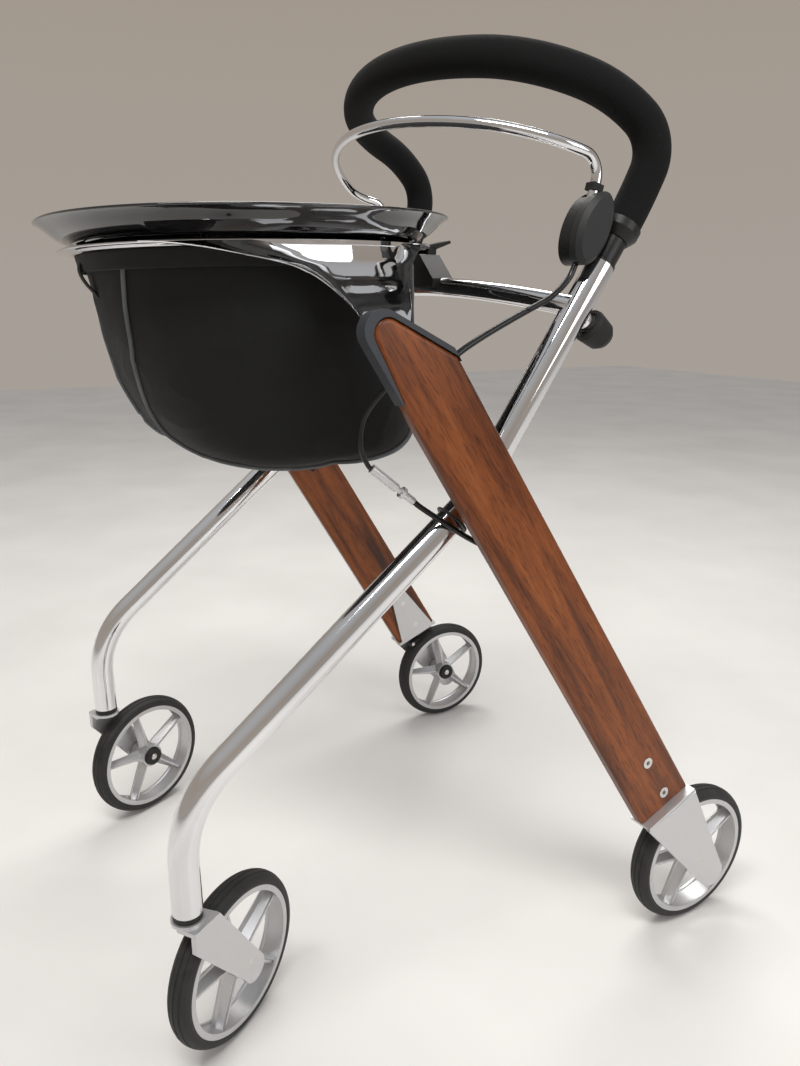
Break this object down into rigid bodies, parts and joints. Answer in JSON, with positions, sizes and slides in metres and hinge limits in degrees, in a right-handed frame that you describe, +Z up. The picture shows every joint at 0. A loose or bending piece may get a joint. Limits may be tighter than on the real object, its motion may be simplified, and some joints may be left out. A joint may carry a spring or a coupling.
{
  "type": "rollator walker",
  "caption": "Folding indoor walker with wheels, wooden rear legs, chrome front tubes, a foam-covered handle, a brake bow, a lift-off tray and a fabric bag under it.",
  "frame": {"origin": "on the floor at the centre of the footprint's bounding box", "axes": "+X to the user's left, -Y to the front in the direction of travel, +Z up"},
  "size_m": [0.5436, 0.6285, 0.8582],
  "materials": {
    "chrome": "mirror polished",
    "steel": "machined",
    "silver_metal": "satin silver",
    "walnut": "satin lacquered walnut veneer",
    "cap_plastic": "fine texture",
    "black_plastic": "satin",
    "cover_plastic": "satin",
    "gloss_black": "glossy",
    "rubber": "matte",
    "cable_black": "glossy",
    "foam": "matte foam",
    "fabric": "woven polyester",
    "rim_silver": "satin silver",
    "tyre": "matte"
  },
  "bodies": {
    "front_frame": {"front_tube_left": "chrome", "front_tube_right": "chrome", "crossbar": "chrome", "latch_catch": "black_plastic", "catch_screws": "steel", "tube_lips": "black_plastic", "caster_bushes": "black_plastic", "fold_pins": "steel", "brake_cables": "cable_black", "barrel_adjusters": "silver_metal"},
    "latch": {"latch_lever": "black_plastic"},
    "rear_legs": {"leg_board_left": "walnut", "leg_board_right": "walnut", "leg_caps": "cap_plastic", "leg_bushes": "black_plastic", "wheel_bracket_left": "silver_metal", "wheel_bracket_right": "silver_metal", "sleeve_nuts": "steel", "rear_axles": "steel", "holder_pins": "steel"},
    "holder": {"tray_holder": "chrome", "bag": "fabric", "bag_back": "fabric"},
    "tray": {"tray": "gloss_black"},
    "handle": {"handle_tube": "chrome", "foam_grip": "foam", "grip_collars": "black_plastic", "housing_shells": "black_plastic", "housing_covers": "cover_plastic", "bow_pivots": "steel"},
    "brake_bow": {"brake_bow": "chrome", "bow_boots": "rubber"},
    "brake_shoe_left": {"brake_shoe_left": "rubber"},
    "rear_wheel_left": {"rim_rear_left": "rim_silver", "tyre_rear_left": "tyre", "bearings_rear_left": "steel", "hub_cap_rear_left": "black_plastic"},
    "caster_left": {"caster_fork_left": "silver_metal", "swivel_pin_left": "steel", "caster_axle_left": "steel"},
    "front_wheel_left": {"rim_front_left": "rim_silver", "tyre_front_left": "tyre", "bearings_front_left": "steel", "hub_cap_front_left": "black_plastic"},
    "knob_left": {"clamp_knob_left": "rubber", "clamp_screw_left": "steel"},
    "brake_shoe_right": {"brake_shoe_right": "rubber"},
    "rear_wheel_right": {"rim_rear_right": "rim_silver", "tyre_rear_right": "tyre", "bearings_rear_right": "steel", "hub_cap_rear_right": "black_plastic"},
    "caster_right": {"caster_fork_right": "silver_metal", "swivel_pin_right": "steel", "caster_axle_right": "steel"},
    "front_wheel_right": {"rim_front_right": "rim_silver", "tyre_front_right": "tyre", "bearings_front_right": "steel", "hub_cap_front_right": "black_plastic"},
    "knob_right": {"clamp_knob_right": "rubber", "clamp_screw_right": "steel"}
  },
  "joints": [
    {"name": "fold", "type": "hinge", "parent": "front_frame", "child": "rear_legs", "pos_m": [0, -0.01, 0.474], "axis": [-1, 0, 0], "range_deg": [0, 35]},
    {"name": "holder_tilt", "type": "hinge", "parent": "rear_legs", "child": "holder", "pos_m": [0, -0.099, 0.602], "axis": [1, 0, 0], "range_deg": [0, 66], "deforming": ["bag_back"]},
    {"name": "latch_lift", "type": "hinge", "parent": "front_frame", "child": "latch", "pos_m": [0, 0.0555, 0.6865], "axis": [-1, 0, 0], "range_deg": [0, 30]},
    {"name": "tray_lift", "type": "slide", "parent": "holder", "child": "tray", "axis": [0, -0.0262, 0.9997], "range_m": [0, 0.02]},
    {"name": "handle_height", "type": "slide", "parent": "front_frame", "child": "handle", "axis": [0, 0.5456, 0.838], "range_m": [0, 0.095]},
    {"name": "brake_squeeze", "type": "hinge", "parent": "handle", "child": "brake_bow", "pos_m": [0, 0.096, 0.702], "axis": [-1, 0, 0], "range_deg": [0, 12]},
    {"name": "brake_shoe_left_turn", "type": "hinge", "parent": "rear_legs", "child": "brake_shoe_left", "pos_m": [0.253, 0.183, 0.131], "axis": [-1, 0, 0], "range_deg": [0, 3.5]},
    {"name": "rear_wheel_left_spin", "type": "hinge", "parent": "rear_legs", "child": "rear_wheel_left", "pos_m": [0.253, 0.239, 0.075], "axis": [1, 0, 0], "continuous": true},
    {"name": "caster_left_swivel", "type": "hinge", "parent": "front_frame", "child": "caster_left", "pos_m": [0.195, -0.273, 0.1], "axis": [0, 0, 1], "continuous": true},
    {"name": "front_wheel_left_spin", "type": "hinge", "parent": "caster_left", "child": "front_wheel_left", "pos_m": [0.16788, -0.23123, 0.075], "axis": [0.8387, 0.5446, 0], "continuous": true},
    {"name": "clamp_knob_left_turn", "type": "hinge", "parent": "front_frame", "child": "knob_left", "pos_m": [0.195, 0.08963, 0.62703], "axis": [0, 0.838, -0.5456], "continuous": true},
    {"name": "brake_shoe_right_turn", "type": "hinge", "parent": "rear_legs", "child": "brake_shoe_right", "pos_m": [-0.253, 0.183, 0.131], "axis": [-1, 0, 0], "range_deg": [0, 3.5]},
    {"name": "rear_wheel_right_spin", "type": "hinge", "parent": "rear_legs", "child": "rear_wheel_right", "pos_m": [-0.253, 0.239, 0.075], "axis": [1, 0, 0], "continuous": true},
    {"name": "caster_right_swivel", "type": "hinge", "parent": "front_frame", "child": "caster_right", "pos_m": [-0.195, -0.273, 0.1], "axis": [0, 0, 1], "continuous": true},
    {"name": "front_wheel_right_spin", "type": "hinge", "parent": "caster_right", "child": "front_wheel_right", "pos_m": [-0.21605, -0.22787, 0.075], "axis": [0.9063, 0.4226, 0], "continuous": true},
    {"name": "clamp_knob_right_turn", "type": "hinge", "parent": "front_frame", "child": "knob_right", "pos_m": [-0.195, 0.08963, 0.62703], "axis": [0, 0.838, -0.5456], "continuous": true}
  ],
  "couplings": [
    {"joint": "holder_tilt", "follows": "fold", "ratio": 1.857},
    {"joint": "brake_shoe_left_turn", "follows": "brake_squeeze", "ratio": 0.25},
    {"joint": "brake_shoe_right_turn", "follows": "brake_squeeze", "ratio": 0.25}
  ]
}
